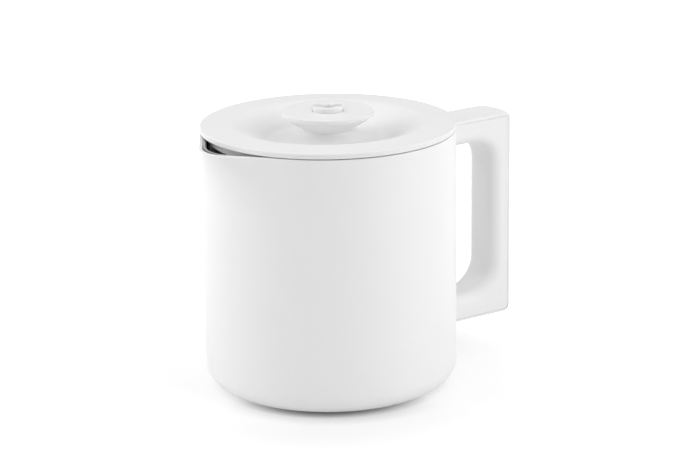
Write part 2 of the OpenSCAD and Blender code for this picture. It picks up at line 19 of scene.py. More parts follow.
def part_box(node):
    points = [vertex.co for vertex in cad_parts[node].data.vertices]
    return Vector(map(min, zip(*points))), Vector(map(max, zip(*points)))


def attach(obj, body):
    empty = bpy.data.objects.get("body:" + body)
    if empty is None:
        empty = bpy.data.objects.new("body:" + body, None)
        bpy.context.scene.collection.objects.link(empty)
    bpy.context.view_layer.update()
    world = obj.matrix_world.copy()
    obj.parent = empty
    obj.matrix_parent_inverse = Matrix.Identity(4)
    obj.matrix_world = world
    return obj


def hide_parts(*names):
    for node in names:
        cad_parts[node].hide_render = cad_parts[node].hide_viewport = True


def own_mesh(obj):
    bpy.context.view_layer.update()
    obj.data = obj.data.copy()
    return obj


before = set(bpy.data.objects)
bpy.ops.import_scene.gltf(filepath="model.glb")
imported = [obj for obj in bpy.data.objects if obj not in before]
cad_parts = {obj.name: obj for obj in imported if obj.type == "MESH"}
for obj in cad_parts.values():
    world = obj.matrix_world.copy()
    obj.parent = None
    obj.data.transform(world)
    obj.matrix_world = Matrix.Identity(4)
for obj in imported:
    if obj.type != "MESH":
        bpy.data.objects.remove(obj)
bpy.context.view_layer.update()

MM = 0.001
MERGE = 1e-6
FULL_TURN = 2 * math.pi
SHARP_ANGLE = 34.0
BEVEL_SEGMENTS = 3
ROUND_STEPS = 5
LOG = logging.getLogger("carafe")

Color = tuple[float, float, float]
Point = tuple[float, float]
Outline = list[Point]
Piece = bpy.types.Object
Socket = bpy.types.NodeSocket


class Body(Enum):
    """Bodies of the carafe that move against each other."""

    VESSEL = "vessel"
    GASKET = "gasket"
    LID = "lid"
    VALVE = "valve"


class Cutter(Enum):
    """Shapes of the cut-outs that a ring of cuts can have."""

    ROUND = "GeometryNodeMeshCylinder"
    SQUARE = "GeometryNodeMeshCube"


class Graph:
    """Adds linked nodes to a node tree."""

    def __init__(self, tree: bpy.types.NodeTree) -> None:
        """Keeps the tree that nodes are added to."""
        self.tree = tree

    @classmethod
    def blank(cls, owner: bpy.types.ID) -> "Graph":
        """Empties the node tree of a material or a world.

        Args:
            owner: The material or world.

        Returns:
            A graph that adds nodes to its tree.
        """
        owner.use_nodes = True
        owner.node_tree.nodes.clear()
        return cls(owner.node_tree)

    def add(self, kind: str, inputs: Optional[Mapping[Any, Any]] = None, output: Any = 0,
            **settings: Any) -> Optional[Socket]:
        """Adds a node.

        Args:
            kind: Type of the node.
            inputs: Value or linked socket for each input, by its name or number.
            output: Name or number of the output to return.
            **settings: Properties of the node.

        Returns:
            That output, or None from a node without outputs.
        """
        node = self.tree.nodes.new(kind)
        for key, value in settings.items():
            setattr(node, key, value)
        for key, value in (inputs or {}).items():
            if isinstance(value, Socket):
                self.tree.links.new(value, node.inputs[key])
            else:
                node.inputs[key].default_value = value
        return node.outputs[output] if node.outputs else None

    def math(self, operation: str, *values: Any) -> Socket:
        """Adds a Math node and returns its result."""
        return self.add("ShaderNodeMath", dict(enumerate(values)), operation=operation)

    def vector(self, operation: str, *values: Any, output: Any = 0) -> Socket:
        """Adds a Vector Math node and returns one of its outputs."""
        return self.add("ShaderNodeVectorMath", dict(enumerate(values)), output, operation=operation)

    def combine(self, **parts: Any) -> Socket:
        """Adds a Combine XYZ node and returns its vector."""
        return self.add("ShaderNodeCombineXYZ", parts)

    def ramp(self, value: Socket, *limits: Any) -> Socket:
        """Maps a value from the range of the first two limits to that of the last two."""
        names = ("From Min", "From Max", "To Min", "To Max")
        return self.add("ShaderNodeMapRange", {"Value": value, **dict(zip(names, limits))})


@dataclass(frozen=True)
class Finish:
    """A finish with a fine grain, a slight mottle and an uneven gloss.

    Grain, relief and cloud are sizes in millimetres. The name is the record's material slot.
    """

    name: str
    color: Color
    roughness: float
    grain: float
    relief: float
    mottle: float = 0.012
    cloud: float = 30.0
    unevenness: float = 0.05
    metallic: float = 0.0

    def coordinates(self, graph: Graph) -> Socket:
        """Returns the coordinates that the grain lies on."""
        return graph.add("ShaderNodeTexCoord", output="Object")

    def shade(self, factor: float) -> tuple[float, float, float, float]:
        """Returns the colour, lighter or darker by a factor."""
        return (*(factor * c for c in self.color), 1.0)

    @functools.lru_cache(maxsize=None)
    def material(self) -> bpy.types.Material:
        """Builds the material once.

        Returns:
            The material.
        """
        made = bpy.data.materials.new(self.name)
        graph = Graph.blank(made)
        place = self.coordinates(graph)
        cloud, grain = (graph.add("ShaderNodeTexNoise", {"Vector": place, "Scale": 1 / (size * MM)})
                        for size in (self.cloud, self.grain))
        low, high = self.shade(1 - self.mottle), self.shade(1 + self.mottle)
        tint = graph.add("ShaderNodeMix", {0: cloud, 6: low, 7: high}, 2, data_type="RGBA")
        gloss = graph.ramp(grain, 0.0, 1.0, self.roughness - self.unevenness,
                           self.roughness + self.unevenness)
        bump = graph.add("ShaderNodeBump", {"Height": grain, "Distance": self.relief * MM})
        shader = graph.add("ShaderNodeBsdfPrincipled", {
            "Base Color": tint, "Roughness": gloss, "Normal": bump, "Metallic": self.metallic})
        graph.add("ShaderNodeOutputMaterial", {"Surface": shader})
        return made


@dataclass(frozen=True)
class TurnedSteel(Finish):
    """Steel whose grain is drawn out round the Z axis, as turning and drawing leave it."""

    stretch: float = 3.0

    def coordinates(self, graph: Graph) -> Socket:
        """Draws out the way round the axis.

        Args:
            graph: Graph of the material.

        Returns:
            The coordinates that the grain lies on.
        """
        place = super().coordinates(graph)
        flat = graph.vector("MULTIPLY", place, (1, 1, 0))
        radius = graph.vector("LENGTH", flat, output="Value")
        drawn = graph.add("ShaderNodeVectorMath", {
            0: graph.vector("NORMALIZE", flat), "Scale": self.stretch * MM}, operation="SCALE")
        height = graph.add("ShaderNodeSeparateXYZ", {0: place}, "Z")
        return graph.vector("ADD", drawn, graph.combine(Z=graph.math("ADD", radius, height)))


WHITE_PAINT = Finish("white_paint", (0.86, 0.86, 0.86), roughness=0.42, grain=0.9, relief=0.004)
WHITE_PLASTIC = Finish("white_plastic", (0.85, 0.85, 0.85), roughness=0.5, grain=0.35, relief=0.006)
STEEL = TurnedSteel("steel", (0.7, 0.7, 0.71), roughness=0.3, grain=0.25, relief=0.002,
                    unevenness=0.08, metallic=1.0)
SILICONE = Finish("silicone", (0.2, 0.2, 0.205), roughness=0.62, grain=0.3, relief=0.01, mottle=0.05)
GREY_PLASTIC = Finish("grey_plastic", (0.5, 0.5, 0.51), roughness=0.5, grain=0.3, relief=0.008)
SEALING_BEAD = Finish("sealing_bead", (0.14, 0.12, 0.1), roughness=0.18, grain=1.5, relief=0.03)


def evenly(start: float, end: float, steps: int) -> list[float]:
    """Returns evenly spaced values from start to end, with both."""
    return [start + (end - start) * k / steps for k in range(steps + 1)]


def arc(x: float, y: float, radius: float, start: float, end: float, steps: int) -> Outline:
    """Returns the points of an arc about a centre, between two angles in degrees."""
    angles = [math.radians(a) for a in evenly(start, end, steps)]
    return [(x + radius * math.cos(a), y + radius * math.sin(a)) for a in angles]


def rounded(corners: Sequence[Sequence[float]], closed: bool = True) -> Outline:
    """Rounds the corners of an outline.

    Args:
        corners: Corners as x, y and, where one is rounded, its radius.
        closed: Whether the last corner joins the first.

    Returns:
        The points of the outline. A closed one ends on its first point.
    """
    points: Outline = []
    last = len(corners) - 1
    for k, corner in enumerate(corners):
        here = Vector(corner[:2])
        if len(corner) < 3 or (not closed and k in (0, last)):
            points.append(tuple(here))
            continue
        before = (Vector(corners[k - 1][:2]) - here).normalized()
        after = (Vector(corners[(k + 1) % len(corners)][:2]) - here).normalized()
        half = before.angle(after) / 2
        centre = here + (before + after).normalized() * corner[2] / math.sin(half)
        start = here + before * corner[2] / math.tan(half) - centre
        turn = start.angle_signed(here + after * corner[2] / math.tan(half) - centre)
        for angle in evenly(0, -turn, ROUND_STEPS):
            spoke = Vector((start.x * math.cos(angle) - start.y * math.sin(angle),
                            start.x * math.sin(angle) + start.y * math.cos(angle)))
            points.append(tuple(centre + spoke))
    return points + points[:1] if closed else points


def new_piece(name: str, mesh: bpy.types.Mesh) -> Piece:
    """Links a mesh to the scene.

    Args:
        name: Name of the piece.
        mesh: Its mesh.

    Returns:
        The new piece.
    """
    piece = bpy.data.objects.new(name, mesh)
    bpy.context.scene.collection.objects.link(piece)
    return piece


def settle(piece: Piece) -> None:
    """Turns the evaluated shape of a piece into its plain mesh and removes the modifiers.

    Args:
        piece: The piece.
    """
    shape = piece.evaluated_get(bpy.context.evaluated_depsgraph_get())
    mesh = bpy.data.meshes.new_from_object(shape)
    mesh.name = piece.name
    piece.modifiers.clear()
    piece.data = mesh


def skin(name: str, rings: Sequence[Sequence[Sequence[float]]], loop: bool = False,
         caps: bool = False) -> Piece:
    """Skins a row of rings with the same number of points.

    Args:
        name: Name of the piece.
        rings: Points of each ring, in millimetres.
        loop: Whether the last ring joins the first.
        caps: Whether the two ends get a face.

    Returns:
        The new piece, with its normals outwards.
    """
    shape = bmesh.new()
    rows = [[shape.verts.new(Vector(point) * MM) for point in ring] for ring in rings]
    for low, high in list(zip(rows, rows[1:])) + ([(rows[-1], rows[0])] if loop else []):
        for k, corner in enumerate(low):
            following = (k + 1) % len(low)
            shape.faces.new((corner, low[following], high[following], high[k]))
    if caps:
        shape.faces.new(rows[0])
        shape.faces.new(rows[-1])
    bmesh.ops.remove_doubles(shape, verts=shape.verts, dist=MERGE)
    bmesh.ops.recalc_face_normals(shape, faces=shape.faces)
    mesh = bpy.data.meshes.new(name)
    shape.to_mesh(mesh)
    shape.free()
    return new_piece(name, mesh)


def polish(piece: Piece, bevel: float, sharp: float) -> None:
    """Bevels the sharp edges of a piece and smooths the rest.

    Args:
        piece: The piece.
        bevel: Width of the bevel in millimetres, or 0 for none.
        sharp: Angle in degrees above which an edge is sharp.
    """
    limit = math.radians(sharp)
    if bevel:
        edge = piece.modifiers.new("edge", "BEVEL")
        edge.width = bevel * MM
        edge.segments = BEVEL_SEGMENTS
        edge.limit_method = "ANGLE"
        edge.angle_limit = limit
        settle(piece)
    piece.data.shade_smooth()
    piece.data.set_sharp_from_angle(angle=limit)
    piece.modifiers.new("normals", "WEIGHTED_NORMAL").keep_sharp = True
    settle(piece)


def dress(piece: Piece, finish: Finish) -> None:
    """Gives a piece, or a node of the construction, one finish."""
    piece.data.materials.clear()
    piece.data.materials.append(finish.material())


def hand_over(piece: Piece, finish: Finish, body: Body, node: str, bevel: float = 0.0,
              sharp: float = SHARP_ANGLE) -> None:
    """Polishes and dresses a piece and gives it to the frame.

    Args:
        piece: The finished shape.
        finish: Its finish.
        body: The body that it rides on.
        node: The construction's node that it stands for.
        bevel: Width of the bevel on its sharp edges.
        sharp: Angle in degrees above which an edge is sharp.
    """
    polish(piece, bevel, sharp)
    dress(piece, finish)
    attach(piece, body.value)
    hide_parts(node)
    LOG.info("%s: %d faces on %s", piece.name, len(piece.data.polygons), body.value)


def dress_node(name: str, finish: Finish) -> None:
    """Dresses a node of the construction that stays as it is."""
    dress(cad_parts[name], finish)
    LOG.info("%s: kept", name)


def node_box(name: str) -> tuple[Vector, Vector]:
    """Returns a node's corners in millimetres, rounded to a tenth."""
    low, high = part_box(name)
    return tuple(Vector(round(v / MM, 1) for v in corner) for corner in (low, high))


class Tree:
    """A geometry tree with named inputs, which ends in real, dressed geometry."""

    def __init__(self, name: str, **inputs: str) -> None:
        """Starts the tree.

        Args:
            name: Name of the tree.
            **inputs: Socket type of each named input.
        """
        self.group = bpy.data.node_groups.new(name, "GeometryNodeTree")
        sockets = self.group.interface
        for label, kind in {"Geometry": "Geometry", **inputs, "Finish": "Material"}.items():
            sockets.new_socket(label, in_out="INPUT", socket_type="NodeSocket" + kind)
        sockets.new_socket("Geometry", in_out="OUTPUT", socket_type="NodeSocketGeometry")
        self.graph = Graph(self.group)
        self.inputs = self.group.nodes.new("NodeGroupInput").outputs

    def repeat(self, shape: Socket, count: Any, place: Socket, turn: Socket) -> Socket:
        """Sets copies of a shape on points.

        Args:
            shape: The shape.
            count: Number of points.
            place: Place of each point.
            turn: Angles by which each copy is turned.

        Returns:
            The copies, as instances.
        """
        points = self.graph.add("GeometryNodePoints", {"Count": count, "Position": place})
        turned = self.graph.add("FunctionNodeEulerToRotation", {0: turn})
        return self.graph.add("GeometryNodeInstanceOnPoints", {
            "Points": points, "Instance": shape, "Rotation": turned})

    def end(self, geometry: Socket) -> None:
        """Realizes the instances of a geometry, dresses it and ends the tree.

        Args:
            geometry: The geometry.
        """
        real = self.graph.add("GeometryNodeRealizeInstances", {0: geometry})
        dressed = self.graph.add("GeometryNodeSetMaterial", {0: real, "Material": self.inputs["Finish"]})
        self.graph.add("NodeGroupOutput", {0: dressed})

    def run(self, piece: Piece, finish: Finish, **values: Any) -> Piece:
        """Runs the tree on a piece and keeps the result as its plain mesh.

        Args:
            piece: The piece, whose mesh is the tree's input.
            finish: Finish that the tree sets.
            **values: Value for each named input.

        Returns:
            The piece.
        """
        values["Finish"] = finish.material()
        modifier = piece.modifiers.new(self.group.name, "NODES")
        modifier.node_group = self.group
        for item in self.group.interface.items_tree:
            if item.in_out == "INPUT" and item.name in values:
                modifier[item.identifier] = values[item.name]
        settle(piece)
        return piece


class Lathe(Tree):
    """Turns an outline of radius and height round the Z axis."""

    SEGMENTS = 192

    def __init__(self) -> None:
        """Builds the tree: a grid whose columns are turned copies of the outline's points."""
        super().__init__("turned_piece", Segments="Int")
        graph = self.graph
        outline, segments = self.inputs["Geometry"], self.inputs["Segments"]
        count = graph.add("GeometryNodeAttributeDomainSize", {0: outline}, "Point Count")
        grid = graph.add("GeometryNodeMeshGrid", {
            "Vertices X": graph.math("ADD", segments, 1), "Vertices Y": count})
        index = graph.add("GeometryNodeInputIndex")
        row = graph.math("FLOORED_MODULO", index, count)
        column = graph.math("FLOOR", graph.math("DIVIDE", graph.math("ADD", index, 0.5), count))
        place = graph.add("GeometryNodeInputPosition")
        point = graph.add("GeometryNodeSampleIndex", {0: outline, "Value": place, "Index": row},
                          data_type="FLOAT_VECTOR")
        angle = graph.math("DIVIDE", graph.math("MULTIPLY", column, FULL_TURN), segments)
        turned = graph.add("ShaderNodeVectorRotate", {"Vector": point, "Angle": angle},
                           rotation_type="Z_AXIS")
        moved = graph.add("GeometryNodeSetPosition", {0: grid, "Position": turned})
        self.end(graph.add("GeometryNodeMergeByDistance", {0: moved, "Distance": MERGE}))

    def turn(self, name: str, outline: Outline, finish: Finish) -> Piece:
        """Turns an outline that runs anticlockwise, radius to the right and height up.

        Args:
            name: Name of the piece.
            outline: Points of the outline, in millimetres.
            finish: Finish of the piece.

        Returns:
            The turned piece.
        """
        mesh = bpy.data.meshes.new(name)
        mesh.from_pydata([(r * MM, 0, z * MM) for r, z in outline], [], [])
        return self.run(new_piece(name, mesh), finish, Segments=self.SEGMENTS)

    def make(self, name: str, outline: Outline, finish: Finish, body: Body, node: str) -> None:
        """Turns an outline and hands the piece over, for a body and in place of a node."""
        hand_over(self.turn(name, outline, finish), finish, body, node)


class RingOfCuts(Tree):
    """Cuts equal holes or notches in a ring round the Z axis."""

    SIDES = 64

    def __init__(self, cutter: Cutter) -> None:
        """Builds the tree for one shape of cutter, whose size is radial, across and high.

        Args:
            cutter: Shape of the cutter.
        """
        super().__init__("cuts_" + cutter.name.lower(), Count="Int", Pitch="Float", Turn="Float",
                         Height="Float", Size="Vector")
        graph, given = self.graph, self.inputs
        index = graph.add("GeometryNodeInputIndex")
        share = graph.math("DIVIDE", graph.math("MULTIPLY", index, FULL_TURN), given["Count"])
        angle = graph.math("ADD", share, given["Turn"])
        place = graph.combine(X=graph.math("MULTIPLY", given["Pitch"], graph.math("COSINE", angle)),
                              Y=graph.math("MULTIPLY", given["Pitch"], graph.math("SINE", angle)),
                              Z=given["Height"])
        if cutter is Cutter.SQUARE:
            tool = graph.add(cutter.value, {"Size": given["Size"]})
        else:
            width, height = (graph.add("ShaderNodeSeparateXYZ", {0: given["Size"]}, part)
                             for part in "XZ")
            tool = graph.add(cutter.value, {"Vertices": self.SIDES, "Depth": height,
                                            "Radius": graph.math("DIVIDE", width, 2)})
        ring = self.repeat(tool, given["Count"], place, graph.combine(Z=angle))
        tools = graph.add("GeometryNodeRealizeInstances", {0: ring})
        self.end(graph.add("GeometryNodeMeshBoolean", {0: given["Geometry"], 1: tools},
                           operation="DIFFERENCE", solver="EXACT"))


class CoilSpring(Tree):
    """Winds a round wire into a helix that stands on a height."""

    TURN_STEPS = 48
    WIRE_SIDES = 16

    def __init__(self) -> None:
        """Builds the tree: a circle swept along a spiral."""
        super().__init__("coil_spring", Turns="Float", Radius="Float", Wire="Float", Height="Float",
                         Base="Float")
        graph, given = self.graph, self.inputs
        spiral = graph.add("GeometryNodeCurveSpiral", {
            "Resolution": self.TURN_STEPS, "Rotations": given["Turns"], "Height": given["Height"],
            "Start Radius": given["Radius"], "End Radius": given["Radius"]})
        wire = graph.add("GeometryNodeCurvePrimitiveCircle", {
            "Resolution": self.WIRE_SIDES, "Radius": given["Wire"]})
        swept = graph.add("GeometryNodeCurveToMesh", {
            "Curve": spiral, "Profile Curve": wire, "Fill Caps": True})
        self.end(graph.add("GeometryNodeTransform", {
            0: swept, "Translation": graph.combine(Z=given["Base"])}))


class ScrewSet(Tree):
    """Sets two screws into each arm of the handle, heads outwards."""

    PER_ARM = 2

    def __init__(self) -> None:
        """Builds the tree: two points in each arm, the upper pair turned over."""
        super().__init__("handle_screws", First="Float", Pitch="Float", Upper="Float", Lower="Float")
        graph, given = self.graph, self.inputs
        index = graph.add("GeometryNodeInputIndex")
        upper = graph.math("LESS_THAN", index, self.PER_ARM)
        along = graph.math("MULTIPLY", given["Pitch"],
                           graph.math("FLOORED_MODULO", index, self.PER_ARM))
        rise = graph.math("MULTIPLY", upper, graph.math("SUBTRACT", given["Upper"], given["Lower"]))
        place = graph.combine(X=graph.math("ADD", given["First"], along),
                              Z=graph.math("ADD", given["Lower"], rise))
        over = graph.combine(X=graph.math("MULTIPLY", upper, math.pi))
        self.end(self.repeat(given["Geometry"], 2 * self.PER_ARM, place, over))


@dataclass
class Vessel:
    """The double wall: a coated shell and a steel liner that meet at the rim and share the beak."""

    body_r: float
    rim_z: float
    floor_z: float
    beak_reach: float = 10.5
    beak_drop: float = 36.0
    beak_tip_r: float = 19.0
    beak_flare: float = 1.6
    beak_dip: float = 1.8
    corner_r: float = 12.0
    base_hole_r: float = 52.0
    wall: float = 0.8
    rim_turn: float = 1.8
    rim_land: float = 4.0
    rim_round: float = 0.5
    joint: float = 0.05
    lip_round: float = 0.8
    liner_gap: float = 7.8
    liner_wall: float = 0.7
    liner_floor: float = 12.0
    liner_corner_r: float = 10.0
    liner_flange: float = 1.2
    neck_depth: float = 18.0
    shoulder_h: float = 6.0
    shoulder_round: float = 2.0
    beak_columns: int = 48
    wall_columns: int = 124
    halvings: int = 24

    @classmethod
    def from_frame(cls) -> "Vessel":
        """Takes the main sizes from the shell's box."""
        low, high = node_box("outer_shell")
        return cls(body_r=high.y, rim_z=high.z, floor_z=low.z)

    @property
    def beak_half(self) -> float:
        """Half the angle between the beak's flanks, seen from the axis."""
        core_r = self.body_r - self.beak_tip_r
        return math.acos(core_r / (core_r + self.beak_reach))

    @property
    def neck_z(self) -> float:
        """Height of the neck's foot."""
        return self.rim_z - self.neck_depth

    @property
    def mouth_r(self) -> float:
        """Radius of the liner's mouth."""
        return self.body_r - self.rim_land

    def plan(self, angle: float, radius: float, share: float) -> float:
        """Gives the wall's distance from the axis in one direction.

        Args:
            angle: Direction, measured from the beak.
            radius: Radius of the wall away from the beak.
            share: Share of the beak's full reach at this height.

        Returns:
            The distance from the axis: two straight flanks and a round tip at the beak.
        """
        half, away = self.beak_half, abs(angle)
        if away >= half or share <= 0:
            return radius
        tip_r = self.beak_tip_r - (self.body_r - radius)
        centre = share * (radius - tip_r) / math.cos(half)
        nose = (1 - share) * radius + share * tip_r
        if away > math.atan2(nose * math.sin(half), centre + nose * math.cos(half)):
            return radius / math.cos(half - away)
        return centre * math.cos(away) + math.sqrt(nose ** 2 - (centre * math.sin(away)) ** 2)

    def columns(self) -> list[float]:
        """Spreads the mesh columns round the wall, closest together at the beak.

        Returns:
            Their directions, measured from the beak.
        """
        half = self.beak_half
        side = evenly(0, half, self.beak_columns)[:-1] + evenly(half, math.pi, self.wall_columns)
        return [-a for a in reversed(side[1:-1])] + side

    def share(self, z: float, foot_z: float) -> float:
        """Returns the share of the beak's reach at a height, above the foot where it leaves the wall."""
        return max(0.0, (z - foot_z) / (self.rim_z - foot_z)) ** self.beak_flare

    def rim_height(self, angle: float, radius: float, foot_z: float) -> float:
        """Finds where a wall meets the rim, which slopes down to the beak's tip.

        Args:
            angle: Direction, measured from the beak.
            radius: Radius of the wall away from the beak.
            foot_z: Height at which the beak leaves the wall.

        Returns:
            The height of the rim in that direction.
        """
        start = self.body_r * math.cos(self.beak_half)
        slope = self.beak_dip / (self.body_r + self.beak_reach - start)
        low, high = foot_z, self.rim_z
        for _ in range(self.halvings):
            z = (low + high) / 2
            along = self.plan(angle, radius, self.share(z, foot_z)) * math.cos(angle)
            if z > self.rim_z - slope * max(0.0, along - start):
                high = z
            else:
                low = z
        return high

    def walls(self, name: str, rows: Outline, foot_z: float, loop: bool) -> Piece:
        """Skins rows of radius and height, drawn out at the beak.

        Args:
            name: Name of the piece.
            rows: Radius and height of each row.
            foot_z: Height at which the beak leaves the wall.
            loop: Whether the last row joins the first.

        Returns:
            The new piece.
        """
        rings = []
        columns = self.columns()
        height = functools.lru_cache(maxsize=None)(self.rim_height)
        for radius, z in rows:
            ring = []
            for angle in columns:
                level = z
                if z > foot_z and abs(angle) < self.beak_half:
                    top = height(angle, radius, foot_z)
                    level = foot_z + (z - foot_z) * (top - foot_z) / (self.rim_z - foot_z)
                reach = self.plan(angle, radius, self.share(level, foot_z))
                ring.append((-reach * math.cos(angle), reach * math.sin(angle), level))
            rings.append(ring)
        return skin(name, rings, loop)

    def shell(self) -> Piece:
        """Makes the coated shell, from the bottom hole up to the turned-in rim and back inside.

        Returns:
            The new piece.
        """
        body_r, rim_z, rim_round = self.body_r, self.rim_z, self.rim_round
        foot, under_z = rim_z - self.beak_drop, rim_z - self.wall
        centre = (body_r - self.corner_r, self.floor_z + self.corner_r)
        edge_r, edge_round = body_r - self.rim_turn, rim_round / 3
        rows = [(self.base_hole_r, self.floor_z), *arc(*centre, self.corner_r, -90, 0, 16)]
        rows += [(body_r, z) for z in evenly(centre[1], foot, 8)[1:-1]]
        rows += [(body_r, z) for z in evenly(foot, rim_z - rim_round, 30)[:-1]]
        rows += arc(body_r - rim_round, rim_z - rim_round, rim_round, 0, 90, 5)
        rows += arc(edge_r + edge_round, rim_z - edge_round, edge_round, 90, 180, 3)
        rows += [(edge_r, under_z)] + [(body_r - self.wall, z) for z in evenly(under_z, foot, 10)]
        rows += arc(*centre, self.corner_r - self.wall, 0, -90, 12)
        rows += [(self.base_hole_r, self.floor_z + self.wall)]
        return self.walls("outer_shell_skin", rows, foot, True)

    def liner(self) -> Piece:
        """Makes the steel liner, from its floor up over the lip and down its outside.

        Returns:
            The new piece.
        """
        out_r, mouth_r = self.body_r - self.liner_gap, self.mouth_r
        in_r, neck_r = out_r - self.liner_wall, mouth_r + self.liner_wall
        shoulder_z, foot = self.neck_z - self.shoulder_h, self.neck_z + self.liner_flange
        lip_z, flange_z = self.rim_z - self.lip_round, self.rim_z - self.liner_flange
        centre = (out_r - self.liner_corner_r, self.liner_floor + self.liner_corner_r)
        edge_r, bend = self.body_r - self.rim_turn - self.joint, self.shoulder_round
        rows = [(0, self.liner_floor + self.liner_wall)]
        rows += arc(*centre, self.liner_corner_r - self.liner_wall, -90, 0, 12)
        rows += rounded([rows[-1], (in_r, shoulder_z, bend), (mouth_r, self.neck_z, bend),
                         (mouth_r, foot)], closed=False)[1:-1]
        rows += [(mouth_r, z) for z in evenly(foot, lip_z, 16)]
        rows += arc(mouth_r + self.lip_round, lip_z, self.lip_round, 180, 90, 6)[1:]
        rows += [(edge_r, self.rim_z), (edge_r, flange_z)]
        rows += [(neck_r, z) for z in evenly(flange_z, foot, 8)]
        rows += [(neck_r, self.neck_z), (out_r, shoulder_z)]
        rows += arc(*centre, self.liner_corner_r, 0, -90, 12) + [(0, self.liner_floor)]
        return self.walls("inner_liner_skin", rows, foot, False)

    def build(self) -> None:
        """Makes both walls and dresses what lies hidden between them."""
        hand_over(self.shell(), WHITE_PAINT, Body.VESSEL, "outer_shell")
        hand_over(self.liner(), STEEL, Body.VESSEL, "inner_liner")
        for name in ("flask_bottom", "getter"):
            dress_node(name, STEEL)
        dress_node("evacuation_seal", SEALING_BEAD)


@dataclass
class Base:
    """The soft pad under the vessel and the cover of the shell's bottom hole."""

    pad_r: float
    pad_h: float
    bevel: float = 0.6
    edge_round: float = 0.2

    @classmethod
    def from_frame(cls) -> "Base":
        """Takes the pad's sizes from its box."""
        high = node_box("base_pad")[1]
        return cls(pad_r=high.y, pad_h=high.z)

    def build(self, lathe: Lathe) -> None:
        """Turns the pad and dresses the cover.

        Args:
            lathe: The lathe.
        """
        outline = rounded([(0, 0), (self.pad_r - self.bevel, 0, self.edge_round),
                           (self.pad_r, self.bevel, self.edge_round), (self.pad_r, self.pad_h),
                           (0, self.pad_h)], closed=False)
        lathe.make("base_pad_soft", outline, SILICONE, Body.VESSEL, "base_pad")
        dress_node("base_cover", WHITE_PLASTIC)


